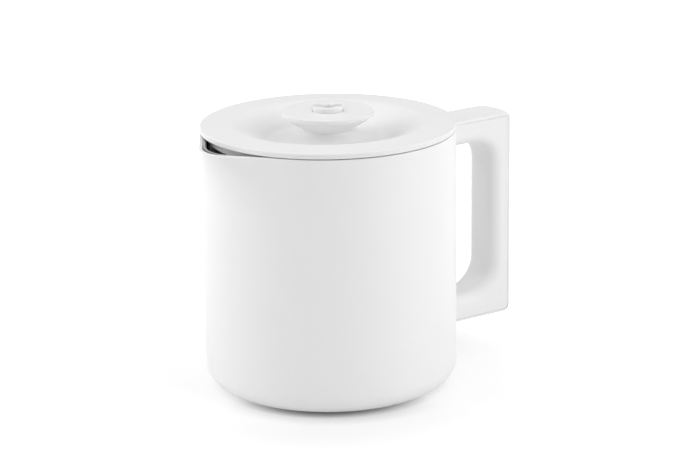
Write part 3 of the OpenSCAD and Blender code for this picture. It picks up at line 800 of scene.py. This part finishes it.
@dataclass
class Handle:
    """The C-shaped grip, the strip that covers its outside, and what fixes it to the vessel."""

    body_r: float
    top_z: float
    bottom_z: float
    half_w: float
    back_x: float
    grip_back: float
    fit_gap: float = 0.2
    crown: float = 3.0
    cover_t: float = 1.7
    seam: float = 0.15
    grip_x: float = 111.5
    upper_arm: float = 15.8
    lower_arm: float = 15.7
    grip_round: float = 7.0
    fillet_top: float = 14.0
    fillet_bottom: float = 17.0
    corner_top: float = 2.5
    corner_bottom: float = 5.0
    strip_round: float = 1.2
    seam_bevel: float = 0.1
    screw_r: float = 2.0
    screw_head_r: float = 3.6
    screw_head_h: float = 2.4
    screw_round: float = 0.3
    screw_sink: float = 0.4
    screw_end: float = 8.2
    screw_first: float = 10.88
    screw_pitch: float = 14.08

    @classmethod
    def from_frame(cls, vessel: Vessel) -> "Handle":
        """Takes the main sizes from the boxes of the strip and the grip.

        Args:
            vessel: The vessel that the handle is fixed to.

        Returns:
            The handle.
        """
        low, high = node_box("handle_cover")
        return cls(body_r=vessel.body_r, top_z=high.z, bottom_z=low.z, half_w=high.y, back_x=high.x,
                   grip_back=node_box("handle_grip")[1].x)

    @property
    def wall_r(self) -> float:
        """Radius of the arms' ends, which clear the vessel."""
        return self.body_r + self.fit_gap

    def wall_x(self, y: float) -> float:
        """Returns where the handle meets the vessel, at a distance from the middle plane."""
        return math.sqrt(self.wall_r ** 2 - y ** 2)

    def tip_x(self, y: float) -> float:
        """Returns how far the crowned back reaches, at a distance from the middle plane."""
        radius = (self.half_w ** 2 + self.crown ** 2) / (2 * self.crown)
        return self.back_x - radius + math.sqrt(radius ** 2 - y ** 2)

    def section(self) -> Outline:
        """Returns the rounded inside of the grip's section as depth and distance from the middle."""
        side = arc(self.grip_round, self.grip_round - self.half_w, self.grip_round, 270, 180, 10)
        return side + [(0, 0)] + [(depth, -y) for depth, y in reversed(side)]

    def stations(self) -> list[tuple[Vector, Vector, Vector]]:
        """Works out the grip's path, from the upper arm's end to the lower one's.

        Returns:
            Points on the opening, the normals there and points on the outside.
        """
        steps, path = 12, []
        for fillet, edge, far, sign in (
                (self.fillet_top, self.top_z - self.upper_arm, self.top_z - self.cover_t, 1),
                (self.fillet_bottom, self.bottom_z + self.lower_arm, self.bottom_z + self.cover_t, -1)):
            centre = Vector((self.grip_x - fillet, edge - sign * fillet))
            half = [(Vector((x, edge)), Vector((0, sign)), Vector((x, far)))
                    for x in evenly(self.wall_r, centre.x, 6)[:-1]]
            for k, point in enumerate(arc(*centre, fillet, 90 * sign, 0, steps)):
                along = 2 * k / steps
                outside = Vector((centre.x + (self.grip_back - centre.x) * min(along, 1),
                                  far + (centre.y - far) * max(along - 1, 0)))
                half.append((Vector(point), (Vector(point) - centre).normalized(), outside))
            path.append(half)
        upper, lower = path
        grip = [(Vector((self.grip_x, z)), Vector((1, 0)), Vector((self.grip_back, z)))
                for z in evenly(upper[-1][0].y, lower[-1][0].y, 8)[1:-1]]
        return upper + grip + lower[::-1]

    def grip(self) -> Piece:
        """Makes the grip, with broad rounds round the opening.

        Returns:
            The new piece.
        """
        stations = self.stations()
        rings = []
        for k, (inner, normal, outer) in enumerate(stations):
            ring = [(*(inner + normal * depth), y) for depth, y in self.section()]
            ring += [(*outer, self.half_w), (*outer, -self.half_w)]
            if k in (0, len(stations) - 1):
                ring = [(self.wall_x(y), z, y) for x, z, y in ring]
            rings.append([(x, y, z) for x, z, y in ring])
        return skin("handle_grip_moulding", rings, caps=True)

    def strip_path(self, y: float) -> list[tuple[Point, Point]]:
        """Works out the strip's path at a distance from the middle plane.

        Args:
            y: The distance.

        Returns:
            Points on the outside and on the inside.
        """
        tip, wall, inner_x = self.tip_x(y), self.wall_x(y), self.grip_back + self.seam
        inner_top = self.top_z - self.cover_t + self.seam
        inner_bottom = self.bottom_z + self.cover_t - self.seam
        beyond = max(0.0, abs(y) - (self.half_w - self.strip_round))
        ease = self.strip_round - math.sqrt(self.strip_round ** 2 - beyond ** 2)
        top_x, bottom_x = tip - self.corner_top, tip - self.corner_bottom
        start, end = self.top_z - self.corner_top, self.bottom_z + self.corner_bottom
        arm, back, corner = 8, 12, 8
        path = [((x, self.top_z - ease), (inner, inner_top))
                for x, inner in zip(evenly(wall, top_x, arm), evenly(wall, inner_x, arm))]
        path += [(point, (inner_x, inner_top))
                 for point in arc(top_x, start, self.corner_top - ease, 90, 0, corner)[1:]]
        path += [((tip - ease, z), (inner_x, inner)) for z, inner in zip(
            evenly(start, end, back)[1:-1], evenly(inner_top, inner_bottom, back)[1:-1])]
        path += [(point, (inner_x, inner_bottom))
                 for point in arc(bottom_x, end, self.corner_bottom - ease, 0, -90, corner)]
        path += [((x, self.bottom_z + ease), (inner, inner_bottom)) for x, inner in zip(
            evenly(bottom_x, wall, arm)[1:], evenly(inner_x, wall, arm)[1:])]
        return path

    def strip(self) -> Piece:
        """Makes the cover strip over the top, back and underside, with a crowned back and soft edges.

        Returns:
            The new piece.
        """
        flat = self.half_w - self.strip_round
        edge = [y for y, _ in arc(flat, 0, self.strip_round, 90, 0, 6)]
        columns = [-y for y in reversed(edge)] + evenly(-flat, flat, 16)[1:-1] + edge
        rings = []
        for stage in zip(*(self.strip_path(y) for y in columns)):
            outside = [(x, y, z) for ((x, z), _), y in zip(stage, columns)]
            inside = [(x, y, z) for (_, (x, z)), y in zip(stage, columns)]
            rings.append(outside + inside[::-1])
        return skin("handle_cover_strip", rings, caps=True)

    def screws(self, lathe: Lathe) -> Piece:
        """Makes the four screws inside the arms.

        Args:
            lathe: The lathe.

        Returns:
            The new piece.
        """
        sink, head_z, soft = self.screw_sink, self.screw_sink + self.screw_head_h, self.screw_round
        outline = rounded([(0, sink), (self.screw_head_r, sink, soft), (self.screw_head_r, head_z),
                           (self.screw_r, head_z), (self.screw_r, self.screw_end, soft),
                           (0, self.screw_end)], closed=False)
        piece = lathe.turn("handle_screw_set", outline, STEEL)
        return ScrewSet().run(piece, STEEL, First=(self.body_r + self.screw_first) * MM,
                              Pitch=self.screw_pitch * MM, Upper=(self.top_z - self.cover_t) * MM,
                              Lower=(self.bottom_z + self.cover_t) * MM)

    def build(self, lathe: Lathe) -> None:
        """Makes the grip, its strip and its screws, and dresses the brackets.

        Args:
            lathe: The lathe.
        """
        hand_over(self.grip(), WHITE_PLASTIC, Body.VESSEL, "handle_grip", bevel=self.seam_bevel)
        hand_over(self.strip(), WHITE_PLASTIC, Body.VESSEL, "handle_cover", bevel=self.seam_bevel)
        hand_over(self.screws(lathe), STEEL, Body.VESSEL, "handle_screws")
        for name in ("upper_bracket", "lower_bracket"):
            dress_node(name, STEEL)


@dataclass
class Lid:
    """The plug with its gasket and floor, and the dished cover over it."""

    edge_r: float
    mouth_r: float
    parting_z: float
    rim_z: float
    neck_z: float
    shoulder_h: float
    plug_z: float
    edge_h: float = 1.5
    flange_t: float = 1.5
    edge_round: float = 0.6
    parting_round: float = 0.15
    wall: float = 2.0
    crest_r: float = 57.0
    crest_rise: float = 0.6
    dish_r: float = 34.0
    dish_depth: float = 10.0
    neck_r: float = 14.2
    neck_rise: float = 5.7
    stem_bore: float = 11.2
    boss_inset: float = 1.8
    boss_drop: float = 3.6
    skirt_gap: float = 0.5
    lower_skirt_r: float = 64.9
    shoulder_gap: float = 0.6
    rim_groove_in: float = 0.4
    rim_groove_out: float = 2.0
    clip_drop: float = 5.1
    ledge_in: float = 3.5
    ledge_out: float = 1.1
    seal_t: float = 1.0
    gasket_rise: float = 6.0
    gasket_h: float = 4.0
    gasket_land: float = 0.8
    groove_d: float = 2.0
    run_gap: float = 0.3
    fit_gap: float = 0.2
    lip_w: float = 3.0
    lip_t: float = 1.2
    seat_r: float = 6.5
    guide_top: float = 136.2
    window_w: float = 52.0
    window_h: float = 10.0
    window_drop: float = 1.5
    window_cut: float = 35.0
    inlet_r: float = 8.0
    inlet_pitch_r: float = 40.0
    inlet_cut: float = 6.0
    inlets: int = 8
    soft_edge: float = 0.3

    @classmethod
    def from_frame(cls, vessel: Vessel) -> "Lid":
        """Takes the main sizes from the plug's box and the vessel.

        Args:
            vessel: The vessel that the lid closes.

        Returns:
            The lid.
        """
        low, high = node_box("lid_plug")
        return cls(edge_r=vessel.body_r, mouth_r=vessel.mouth_r, parting_z=high.z, rim_z=vessel.rim_z,
                   neck_z=vessel.neck_z, shoulder_h=vessel.shoulder_h, plug_z=low.z)

    @property
    def top_z(self) -> float:
        """Height of the lid's edge."""
        return self.parting_z + self.edge_h

    @property
    def crest_z(self) -> float:
        """Height of the crest round the dish."""
        return self.top_z + self.crest_rise

    @property
    def dish_z(self) -> float:
        """Height of the dish's lowest ring."""
        return self.crest_z - self.dish_depth

    @property
    def stem_z(self) -> float:
        """Height of the stem's neck."""
        return self.dish_z + self.neck_rise

    @property
    def ledge_z(self) -> float:
        """Height of the ledge on which the cover is sealed."""
        return self.parting_z - self.clip_drop

    @property
    def skirt_r(self) -> float:
        """Radius of the plug's skirt in the mouth."""
        return self.mouth_r - self.skirt_gap

    @property
    def groove_r(self) -> float:
        """Radius of the floor of the gasket's groove."""
        return self.lower_skirt_r - self.groove_d

    @property
    def floor_z(self) -> float:
        """Height at which the plug's floor rests on the lip in its skirt."""
        return self.plug_z + self.lip_t

    def dish_line(self, drop: float, end_r: float) -> Outline:
        """Works out the dish's section, from the crest in to the stem.

        Args:
            drop: How far it is set down.
            end_r: Radius of the stem where it ends.

        Returns:
            The points of the section.
        """
        slope = [(self.crest_r - t * (self.crest_r - self.dish_r),
                  self.crest_z - drop - self.dish_depth * (1 - math.cos(math.pi * t)) / 2)
                 for t in evenly(0, 1, 36)]
        flare = [(self.dish_r - (self.dish_r - end_r) * math.sin(a),
                  self.dish_z - drop + self.neck_rise * (1 - math.cos(a)))
                 for a in evenly(0, math.pi / 2, 24)[1:]]
        return slope + flare

    def cover_outline(self) -> Outline:
        """Works out the cover's section: margin, dish and stem outside, clip skirt and boss inside.

        Returns:
            The points of the section.
        """
        clip_in = self.skirt_r - self.ledge_in + self.fit_gap
        clip_out = self.skirt_r - self.ledge_out - self.fit_gap
        clip_z, boss_z = self.ledge_z + self.seal_t, self.dish_z - self.boss_drop
        boss_r = self.neck_r - self.boss_inset
        outline = rounded([
            (clip_out, self.parting_z), (self.edge_r, self.parting_z, self.parting_round),
            (self.edge_r, self.top_z, self.edge_round), (self.crest_r, self.crest_z)], closed=False)[:-1]
        outline += self.dish_line(0, self.neck_r)
        outline += [(self.stem_bore, self.stem_z), (self.stem_bore, boss_z), (boss_r, boss_z)]
        outline += self.dish_line(self.wall, boss_r)[::-1]
        outline += [(clip_in, self.crest_z - self.wall), (clip_in, clip_z), (clip_out, clip_z)]
        return outline + outline[:1]

    def plug_outline(self) -> Outline:
        """Works out the plug's section: lip, gasket's groove, shoulder and skirt, flange and ledge.

        Returns:
            The points of the section.
        """
        low_r, skirt_r, soft = self.lower_skirt_r, self.skirt_r, self.soft_edge
        ledge_in, ledge_out = skirt_r - self.ledge_in, skirt_r - self.ledge_out
        lower_in = self.groove_r - self.wall
        neck_z = self.neck_z + self.shoulder_gap
        shoulder_z = neck_z - self.shoulder_h
        groove_z = self.plug_z + self.gasket_rise
        groove_top = groove_z + self.gasket_h + 2 * self.run_gap
        flange_z, seat_z = self.parting_z - self.flange_t, self.rim_z + self.run_gap
        seat_in, seat_out = self.mouth_r + self.rim_groove_in, self.mouth_r + self.rim_groove_out
        return rounded([
            (lower_in - self.lip_w, self.plug_z), (low_r, self.plug_z, soft),
            (low_r, groove_z, soft), (self.groove_r, groove_z), (self.groove_r, groove_top),
            (low_r, groove_top, soft), (low_r, shoulder_z, soft), (skirt_r, neck_z, soft),
            (skirt_r, flange_z), (seat_in, flange_z), (seat_in, seat_z), (seat_out, seat_z),
            (seat_out, flange_z), (self.edge_r, flange_z, self.parting_round),
            (self.edge_r, self.parting_z, self.parting_round), (ledge_out, self.parting_z),
            (ledge_out, self.ledge_z), (ledge_in, self.ledge_z), (ledge_in, neck_z + self.shoulder_gap),
            (lower_in, shoulder_z + self.shoulder_gap), (lower_in, self.floor_z),
            (lower_in - self.lip_w, self.floor_z)])

    def floor_outline(self) -> Outline:
        """Works out the section of the plug's floor with the valve's guide.

        Returns:
            The points of the section.
        """
        low, soft = self.floor_z, self.soft_edge
        edge, guide_r = self.groove_r - self.wall - self.fit_gap, self.seat_r + self.wall
        return rounded([(self.seat_r, low, soft), (edge, low), (edge, low + self.wall),
                        (guide_r, low + self.wall, soft), (guide_r, self.guide_top, soft),
                        (self.seat_r, self.guide_top, soft)])

    def gasket_outline(self) -> Outline:
        """Works out the section of the ring gasket with its two lips.

        Returns:
            The points of the section.
        """
        inner, web = self.groove_r + self.run_gap, self.lower_skirt_r - 2 * self.run_gap
        lip = self.lower_skirt_r + self.run_gap
        low = self.plug_z + self.gasket_rise + self.run_gap
        high, land, soft = low + self.gasket_h, self.gasket_land, self.soft_edge / 2
        points = [(inner, low), (web, low), (lip, low + land / 2), (lip, low + land),
                  (web, low + 2 * land), (web, high - 2 * land), (lip, high - land),
                  (lip, high - land / 2), (web, high), (inner, high)]
        return rounded([(*point, soft) for point in points])

    def build(self, lathe: Lathe) -> None:
        """Makes the plug, its floor, its gasket and the cover, and dresses the hidden seal.

        Args:
            lathe: The lathe.
        """
        plug = lathe.turn("lid_plug_skirt", self.plug_outline(), WHITE_PLASTIC)
        middle = self.ledge_z - self.window_drop - self.window_h / 2
        RingOfCuts(Cutter.SQUARE).run(
            plug, WHITE_PLASTIC, Count=1, Turn=math.pi, Pitch=self.mouth_r * MM, Height=middle * MM,
            Size=(self.window_cut * MM, self.window_w * MM, self.window_h * MM))
        hand_over(plug, WHITE_PLASTIC, Body.LID, "lid_plug")
        floor = lathe.turn("plug_floor_plate", self.floor_outline(), WHITE_PLASTIC)
        RingOfCuts(Cutter.ROUND).run(
            floor, WHITE_PLASTIC, Count=self.inlets, Turn=math.pi / self.inlets,
            Pitch=self.inlet_pitch_r * MM, Height=(self.floor_z + self.wall / 2) * MM,
            Size=(2 * self.inlet_r * MM, 2 * self.inlet_r * MM, self.inlet_cut * MM))
        hand_over(floor, WHITE_PLASTIC, Body.LID, "plug_floor")
        lathe.make("lid_gasket_ring", self.gasket_outline(), SILICONE, Body.GASKET, "lid_gasket")
        lathe.make("lid_cover_dish", self.cover_outline(), WHITE_PLASTIC, Body.LID, "lid_cover")
        dress_node("cover_seal", SILICONE)


@dataclass
class Knob:
    """The mushroom knob on the lid's stem."""

    radius: float
    top_z: float
    spigot_z: float
    stem_z: float
    neck_r: float
    rim_t: float = 2.4
    edge_round: float = 0.6
    pocket_r: float = 9.0
    pocket_floor: float = 2.8
    spigot_r: float = 11.0
    guide_r: float = 5.5
    soft_edge: float = 0.3

    @classmethod
    def from_frame(cls, lid: Lid) -> "Knob":
        """Takes the main sizes from the knob's box and the lid's stem."""
        low, high = node_box("knob_cap")
        return cls(radius=high.y, top_z=high.z, spigot_z=low.z, stem_z=lid.stem_z, neck_r=lid.neck_r)

    def build(self, lathe: Lathe) -> None:
        """Turns the knob with its spigot and dresses its nut.

        Args:
            lathe: The lathe.
        """
        pocket_z = self.spigot_z + self.pocket_floor
        outline = rounded([
            (self.guide_r, self.spigot_z), (self.spigot_r, self.spigot_z), (self.spigot_r, self.stem_z),
            (self.neck_r, self.stem_z), (self.radius, self.top_z - self.rim_t, self.edge_round / 2),
            (self.radius, self.top_z, self.edge_round), (self.pocket_r, self.top_z, self.soft_edge),
            (self.pocket_r, pocket_z), (self.guide_r, pocket_z)])
        lathe.make("knob_cap_mushroom", outline, WHITE_PLASTIC, Body.LID, "knob_cap")
        dress_node("knob_nut", GREY_PLASTIC)


@dataclass
class Valve:
    """The sprung brew-through valve: crown and drip tube, spring, seal and foot."""

    crown_r: float
    top_z: float
    foot_z: float
    seal_r: float
    seal_z: float
    seal_top: float
    spring_low: float
    spring_high: float
    spring_out_r: float
    crown_h: float = 6.1
    crown_turn: float = -34.5
    crown_round: float = 0.8
    mouth_round: float = 1.5
    drip_r: float = 4.0
    tube_r: float = 5.2
    notches: int = 2
    notch_d: float = 2.0
    notch_w: float = 5.4
    notch_over: float = 1.0
    notch_reach: float = 1.6
    outlets: int = 4
    outlet_h: float = 4.5
    outlet_w: float = 3.6
    outlet_rise: float = 3.6
    outlet_reach: float = 1.2
    cut_bevel: float = 0.45
    cut_sharp: float = 50.0
    wire_d: float = 1.0
    spring_turns: float = 6.0
    travel: float = 2.5
    peg_gap: float = 0.2
    foot_inset: float = 1.0
    soft_edge: float = 0.35

    @classmethod
    def from_frame(cls) -> "Valve":
        """Takes the main sizes from the boxes of the valve's pieces.

        Returns:
            The valve.
        """
        crown = node_box("valve_plunger")[1]
        seal_low, seal_high = node_box("valve_seal")
        spring_low, spring_high = node_box("valve_spring")
        return cls(crown_r=crown.y, top_z=crown.z, foot_z=node_box("valve_foot")[0].z,
                   seal_r=seal_high.y, seal_z=seal_low.z, seal_top=seal_high.z,
                   spring_low=spring_low.z, spring_high=spring_high.z, spring_out_r=spring_high.x)

    @property
    def spring_length(self) -> float:
        """Length of the spring at rest."""
        return self.spring_high - self.spring_low

    def plunger(self, lathe: Lathe) -> Piece:
        """Turns the crown on its tube and cuts the crown's notches and the tube's outlets.

        Args:
            lathe: The lathe.

        Returns:
            The new piece.
        """
        crown_z, soft = self.top_z - self.crown_h, self.soft_edge
        outline = rounded([
            (self.drip_r, self.seal_z), (self.tube_r, self.seal_z, soft), (self.tube_r, crown_z),
            (self.crown_r, crown_z, soft), (self.crown_r, self.top_z, self.crown_round),
            (self.drip_r, self.top_z, self.mouth_round)])
        piece = lathe.turn("valve_plunger_crown", outline, WHITE_PLASTIC)
        cuts = RingOfCuts(Cutter.SQUARE)
        cut_h = self.notch_d + self.notch_over
        cuts.run(piece, WHITE_PLASTIC, Count=self.notches, Turn=math.radians(self.crown_turn),
                 Pitch=self.crown_r * MM, Height=(self.top_z + self.notch_over - cut_h / 2) * MM,
                 Size=(self.notch_reach * self.crown_r * MM, self.notch_w * MM, cut_h * MM))
        cuts.run(piece, WHITE_PLASTIC, Count=self.outlets, Turn=0.0, Pitch=self.tube_r * MM,
                 Height=(self.seal_z + self.outlet_rise + self.outlet_h / 2) * MM,
                 Size=(self.outlet_reach * self.tube_r * MM, self.outlet_w * MM, self.outlet_h * MM))
        return piece

    def spring(self) -> Piece:
        """Winds the return spring.

        Returns:
            The new piece.
        """
        name, wire = "valve_spring_coil", self.wire_d / 2
        return CoilSpring().run(
            new_piece(name, bpy.data.meshes.new(name)), STEEL, Turns=self.spring_turns, Wire=wire * MM,
            Radius=(self.spring_out_r - wire) * MM, Height=(self.spring_length - self.wire_d) * MM,
            Base=(self.spring_low + wire) * MM)

    def build(self, lathe: Lathe) -> None:
        """Makes the plunger, seal, foot and spring.

        Args:
            lathe: The lathe.
        """
        hand_over(self.plunger(lathe), WHITE_PLASTIC, Body.VALVE, "valve_plunger",
                  bevel=self.cut_bevel, sharp=self.cut_sharp)
        spring = self.spring()
        hand_over(spring, STEEL, Body.LID, "valve_spring")
        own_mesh(spring)
        soft, bore = self.soft_edge, self.tube_r + self.peg_gap
        ring = rounded([(bore, self.seal_z, soft), (self.seal_r, self.seal_z, soft),
                        (self.seal_r, self.seal_top, soft), (bore, self.seal_top, soft)])
        lathe.make("valve_seal_ring", ring, SILICONE, Body.VALVE, "valve_seal")
        disc_r, peg_r = self.seal_r - self.foot_inset, self.drip_r - self.peg_gap
        foot = rounded([(0, self.foot_z), (disc_r, self.foot_z, soft), (disc_r, self.seal_z, soft),
                        (peg_r, self.seal_z), (peg_r, self.seal_top, soft), (0, self.seal_top)],
                       closed=False)
        lathe.make("valve_foot_disc", foot, GREY_PLASTIC, Body.VALVE, "valve_foot")


def direction(azimuth: float, elevation: float) -> Vector:
    """Returns the way to a viewer: azimuth 0 stands at -Y and 90 at +X, in degrees."""
    turn, tilt = math.radians(azimuth), math.radians(elevation)
    return Vector((math.sin(turn) * math.cos(tilt), -math.cos(turn) * math.cos(tilt), math.sin(tilt)))


def hang(name: str, data: bpy.types.ID, place: Vector, turn: Quaternion) -> bpy.types.Object:
    """Hangs a lamp or a camera in the studio.

    Args:
        name: Name of its holder.
        data: The lamp or camera.
        place: Where it hangs.
        turn: How it is turned.

    Returns:
        The holder.
    """
    holder = bpy.data.objects.new(name, data)
    holder.location = place
    holder.rotation_mode = "QUATERNION"
    holder.rotation_quaternion = turn
    bpy.context.scene.collection.objects.link(holder)
    return holder


@dataclass(frozen=True)
class Softbox:
    """A square soft lamp that faces the carafe. Angles are degrees, lengths metres."""

    name: str
    azimuth: float
    elevation: float
    watts: float
    size: float = 1.3
    distance: float = 2.0

    def place(self, aim: Vector) -> None:
        """Hangs the lamp round a point and turns it there.

        Args:
            aim: The point.
        """
        lamp = bpy.data.lights.new(self.name, "AREA")
        lamp.energy = self.watts
        lamp.size = self.size
        back = direction(self.azimuth, self.elevation)
        hang(self.name, lamp, aim + back * self.distance, (-back).to_track_quat("-Z", "Y"))


@dataclass(frozen=True)
class Studio:
    """White sweep, soft lamps and the photograph's camera. Lengths are metres, angles degrees.

    Pixels are in the photograph's own frame. The floor glows, less so near the carafe and least in front
    of it, where the lower glow is painted shade, and a painted contact shadow darkens the glow where the
    carafe covers it.
    """

    aim: tuple[float, float, float] = (0.0, 0.0, 0.074)
    azimuth: float = -34.5
    elevation: float = 16.778
    distance: float = 1.4994
    roll: float = 0.863
    focal_px: float = 2556.8
    centre_px: tuple[float, float] = (329.92, 257.56)
    frame_px: tuple[int, int] = (700, 466)
    sensor_mm: float = 36.0
    sky: float = 0.335
    floor_half: float = 6.0
    floor_z: float = -0.0001
    floor_gray: float = 0.45
    bounce_gray: float = 0.9
    # Glow near the carafe: lower in front than at the sides, as painted shade.
    glow_front: float = 0.48
    glow_side: float = 0.58
    glow_from: float = 0.1
    glow_to: float = 0.35
    front_from: float = 0.55
    # Reach and strength, in front and at the sides, of the painted contact shadow in the floor's glow.
    painted_contact_reach: float = 0.0045
    painted_contact_front: float = 0.88
    painted_contact_side: float = 0.1
    contact_samples: int = 16
    # Strength and radii of a painted shade ring in the floor's glow just in front of the carafe.
    painted_shade_front: float = 0.135
    painted_shade_from: float = 0.073
    painted_shade_to: float = 0.083
    lamps: tuple[Softbox, ...] = (
        Softbox("left_low", -119.5, 12.0, 8.6),
        Softbox("left_high", -119.5, 40.0, 12.6),
        Softbox("left_back", -169.5, 40.0, 5.5),
        Softbox("right_low", 25.5, 12.0, 5.8),
        Softbox("right_side", 50.5, 12.0, 2.6),
        Softbox("right_high", 25.5, 40.0, 12.7),
        Softbox("right_back", 100.5, 40.0, 5.6),
        Softbox("overhead", 0.0, 89.0, 5.6, size=1.6),
    )

    def seen_directly(self, graph: Graph) -> Socket:
        """Tells the rays that show the white sweep from those that only carry its light.

        Args:
            graph: Graph of the floor's material.

        Returns:
            1 for a ray from the camera, mirrored or through glass, and 0 for any other.
        """
        camera, mirrored, through = (graph.add("ShaderNodeLightPath", output=f"Is {kind} Ray")
                                     for kind in ("Camera", "Glossy", "Transmission"))
        return graph.math("MAXIMUM", graph.math("MAXIMUM", camera, mirrored), through)

    def world(self) -> None:
        """Makes the sky: plain light on the carafe, white to look at."""
        sky = bpy.data.worlds.new("white_studio")
        graph = Graph.blank(sky)
        light, white = (graph.add("ShaderNodeBackground", {"Color": (1, 1, 1, 1), "Strength": level})
                        for level in (self.sky, 1.0))
        camera = graph.add("ShaderNodeLightPath", output="Is Camera Ray")
        mixed = graph.add("ShaderNodeMixShader", {0: camera, 1: light, 2: white})
        graph.add("ShaderNodeOutputWorld", {0: mixed})
        bpy.context.scene.world = sky

    def glow_with_painted_shade(self, graph: Graph) -> Socket:
        """Works out how strongly the floor glows at each place, with painted shade in the glow.

        Args:
            graph: Graph of the floor's material.

        Returns:
            The strength of the glow, darkened by a painted contact shadow and a painted shade in front
            of the carafe.
        """
        place = graph.add("ShaderNodeTexCoord", output="Object")
        away = graph.vector("LENGTH", place, output="Value")
        ahead = graph.vector("DOT_PRODUCT", place, direction(self.azimuth, 0), output="Value")
        front = graph.ramp(graph.math("DIVIDE", ahead, away), self.front_from, 1.0, 0.0, 1.0)
        # Painted contact shadow: the glow is darkened where ambient occlusion finds the carafe close,
        # most in front.
        depth = graph.ramp(front, 0.0, 1.0, self.painted_contact_side, self.painted_contact_front)
        open_share = graph.add("ShaderNodeAmbientOcclusion", {"Distance": self.painted_contact_reach}, "AO",
                               samples=self.contact_samples)
        painted_contact_shade = graph.math("MULTIPLY", depth, graph.math("SUBTRACT", 1.0, open_share))
        # Painted shade: the glow near the carafe is lower in front than at the sides.
        near = graph.ramp(front, 0.0, 1.0, self.glow_side, self.glow_front)
        rise = graph.ramp(away, self.glow_from, self.glow_to, near, 1.0)
        # Painted shade ring just in front of the carafe's base.
        shade = graph.ramp(away, self.painted_shade_from, self.painted_shade_to, self.painted_shade_front, 0.0)
        level = graph.math("SUBTRACT", rise, graph.math("MULTIPLY", front, shade))
        return graph.math("MULTIPLY", graph.math("SUBTRACT", 1.0, painted_contact_shade), level)

    def floor(self) -> None:
        """Lays the white floor, whose shadow is partly real and partly painted into its glow, and which
        can be seen through from below.
        """
        made = bpy.data.materials.new("white_floor")
        graph = Graph.blank(made)
        bounce, paper = (graph.add("ShaderNodeBsdfDiffuse", {"Color": (gray, gray, gray, 1)})
                         for gray in (self.bounce_gray, self.floor_gray))
        glow = graph.add("ShaderNodeEmission", {"Strength": self.glow_with_painted_shade(graph)})
        shown = graph.add("ShaderNodeAddShader", {0: paper, 1: glow})
        mixed = graph.add("ShaderNodeMixShader", {0: self.seen_directly(graph), 1: bounce, 2: shown})
        below = graph.add("ShaderNodeNewGeometry", output="Backfacing")
        clear = graph.add("ShaderNodeBsdfTransparent")
        sided = graph.add("ShaderNodeMixShader", {0: below, 1: mixed, 2: clear})
        graph.add("ShaderNodeOutputMaterial", {"Surface": sided})
        half = self.floor_half
        corners = ((-half, -half), (half, -half), (half, half), (-half, half))
        mesh = bpy.data.meshes.new("studio_floor")
        mesh.from_pydata([(*corner, self.floor_z) for corner in corners], [], [(0, 1, 2, 3)])
        mesh.materials.append(made)
        new_piece("studio_floor", mesh)

    def camera(self) -> None:
        """Sets the camera where the photograph was taken from."""
        width, height = self.frame_px
        lens = bpy.data.cameras.new("photo_camera")
        lens.sensor_width = self.sensor_mm
        lens.lens = self.focal_px / width * self.sensor_mm
        lens.shift_x = (width / 2 - self.centre_px[0]) / width
        lens.shift_y = (self.centre_px[1] - height / 2) / width
        back = direction(self.azimuth, self.elevation)
        tilt = Quaternion((0, 0, 1), -math.radians(self.roll))
        bpy.context.scene.camera = hang("photo_camera", lens, Vector(self.aim) + back * self.distance,
                                        (-back).to_track_quat("-Z", "Y") @ tilt)

    def build(self) -> None:
        """Makes the camera, the sweep and the lamps."""
        bpy.context.scene.view_settings.view_transform = "Standard"
        self.camera()
        self.world()
        self.floor()
        for lamp in self.lamps:
            lamp.place(Vector(self.aim))


def main() -> None:
    """Builds the studio and then the carafe, one sub-assembly after the other."""
    logging.basicConfig(level=logging.INFO, format="%(name)s: %(message)s")
    Studio().build()
    lathe = Lathe()
    vessel = Vessel.from_frame()
    vessel.build()
    Base.from_frame().build(lathe)
    Handle.from_frame(vessel).build(lathe)
    lid = Lid.from_frame(vessel)
    lid.build(lathe)
    Knob.from_frame(lid).build(lathe)
    Valve.from_frame().build(lathe)


if __name__ == "__main__":
    main()
